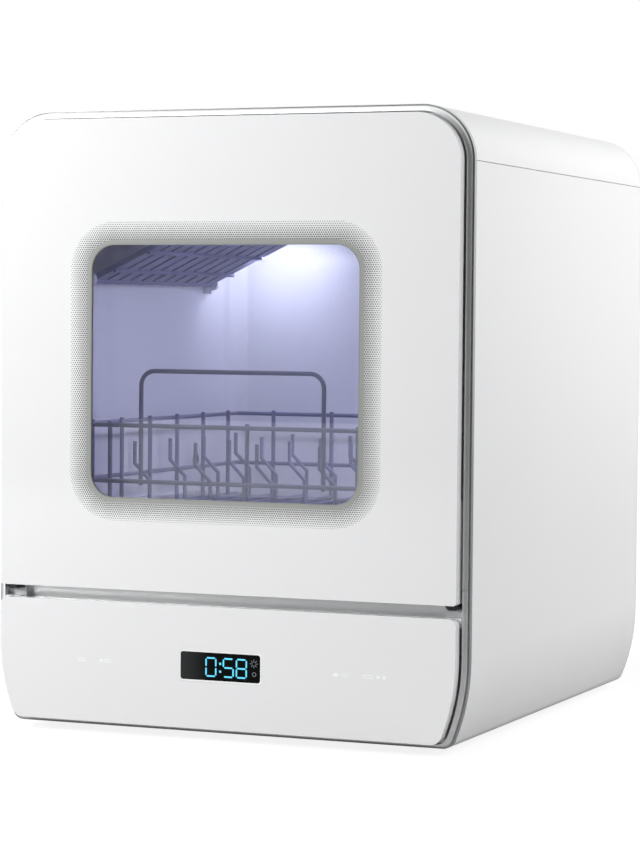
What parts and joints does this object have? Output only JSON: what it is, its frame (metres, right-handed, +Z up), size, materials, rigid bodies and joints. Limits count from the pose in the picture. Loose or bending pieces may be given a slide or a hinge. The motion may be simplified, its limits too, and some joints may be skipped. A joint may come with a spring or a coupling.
{
  "type": "countertop dishwasher",
  "caption": "Countertop dishwasher with a drop-down glass door, touch display panel, sliding wire rack, folding cup shelf, spray arm and warm-air fan.",
  "frame": {"origin": "under the middle of the whole machine, on the surface that its feet stand on", "axes": "+X to the right seen from the front, +Y from the door to the back, +Z up"},
  "size_m": [0.379, 0.45, 0.4655],
  "materials": {
    "white_casing": "satin",
    "white_door": "gloss",
    "frame_grey": "satin",
    "trim_pale": "satin",
    "tub_white": "satin",
    "rack_coat": "satin",
    "shelf_plastic": "satin",
    "steel": "satin",
    "black_plastic": "matte",
    "dark_plastic": "matte",
    "pale_plastic": "matte",
    "foot_rubber": "matte",
    "seal_rubber": "matte",
    "hose_rubber": "matte",
    "door_glass": "gloss",
    "display_glass": "gloss",
    "lamp_lens": "satin",
    "circuit_board": "satin"
  },
  "bodies": {
    "cabinet": {"top_cover": "white_casing", "side_panel_left": "white_casing", "side_panel_right": "white_casing", "base_tray": "dark_plastic", "back_panel": "pale_plastic", "back_screws": "steel", "rubber_feet": "foot_rubber", "upper_frame": "frame_grey", "lower_frame": "frame_grey", "casing_trim": "trim_pale", "hinge_brackets": "frame_grey", "hinge_pins": "steel", "tub": "tub_white", "tub_gasket": "seal_rubber", "control_fascia": "white_door", "display_bezel": "white_door", "display_window": "display_glass", "display_board": "circuit_board", "touch_sensors": "circuit_board", "power_board": "circuit_board", "sump": "pale_plastic", "wash_pump": "dark_plastic", "drain_pump": "dark_plastic", "water_heater": "steel", "inlet_valve": "pale_plastic", "internal_hoses": "hose_rubber", "inlet_connector": "pale_plastic", "drain_connector": "pale_plastic", "cord_gland": "dark_plastic", "fan_housing": "pale_plastic", "fan_motor": "dark_plastic", "interior_lamp": "lamp_lens", "filter_plate": "steel", "spray_hub": "pale_plastic", "float_switch": "dark_plastic", "rack_rails": "tub_white", "lock_housing": "dark_plastic", "shelf_brackets": "tub_white"},
    "door": {"door_front": "white_door", "window_glass": "door_glass", "window_seal": "seal_rubber", "door_liner": "tub_white", "inner_glass": "door_glass", "hinge_arms": "steel", "hinge_knuckles": "black_plastic", "hinge_covers": "white_door", "door_strike": "steel"},
    "rack": {"rack_floor": "rack_coat", "front_fence": "rack_coat", "back_fence": "rack_coat", "left_fence": "rack_coat", "right_fence": "rack_coat", "plate_tines": "rack_coat", "rack_glides": "pale_plastic"},
    "cup_shelf": {"upper_shelf": "shelf_plastic"},
    "spray_arm": {"spray_arm": "shelf_plastic"},
    "filter_cup": {"filter_cup": "shelf_plastic"},
    "water_float": {"water_float": "pale_plastic"},
    "fan_wheel": {"fan_wheel": "pale_plastic"},
    "detergent_lid": {"detergent_lid": "pale_plastic"}
  },
  "joints": [
    {"name": "door_hinge", "type": "hinge", "parent": "cabinet", "child": "door", "pos_m": [0, -0.213, 0.1125], "axis": [1, 0, 0], "range_deg": [0, 90]},
    {"name": "rack_slide", "type": "slide", "parent": "cabinet", "child": "rack", "axis": [0, -1, 0], "range_m": [0, 0.0975]},
    {"name": "shelf_fold", "type": "hinge", "parent": "cabinet", "child": "cup_shelf", "pos_m": [-0.152, -0.025, 0.341], "axis": [0, 1, 0], "range_deg": [0, 26]},
    {"name": "spray_arm_spin", "type": "hinge", "parent": "cabinet", "child": "spray_arm", "pos_m": [0, -0.02, 0.145], "axis": [0, 0, 1], "continuous": true},
    {"name": "filter_twist", "type": "hinge", "parent": "cabinet", "child": "filter_cup", "pos_m": [0.07, -0.105, 0.12], "axis": [0, 0, 1], "range_deg": [0, 45]},
    {"name": "float_lift", "type": "slide", "parent": "cabinet", "child": "water_float", "axis": [0, 0, 1], "range_m": [0, 0.005]},
    {"name": "fan_spin", "type": "hinge", "parent": "cabinet", "child": "fan_wheel", "pos_m": [-0.07, 0.015, 0.4], "axis": [0, 0, 1], "continuous": true},
    {"name": "lid_slide", "type": "slide", "parent": "door", "child": "detergent_lid", "axis": [-1, 0, 0], "range_m": [0, 0.05]}
  ],
  "couplings": [
    {"joint": "rack_slide", "follows": "door_hinge", "m_per_rad": 0.062}
  ]
}
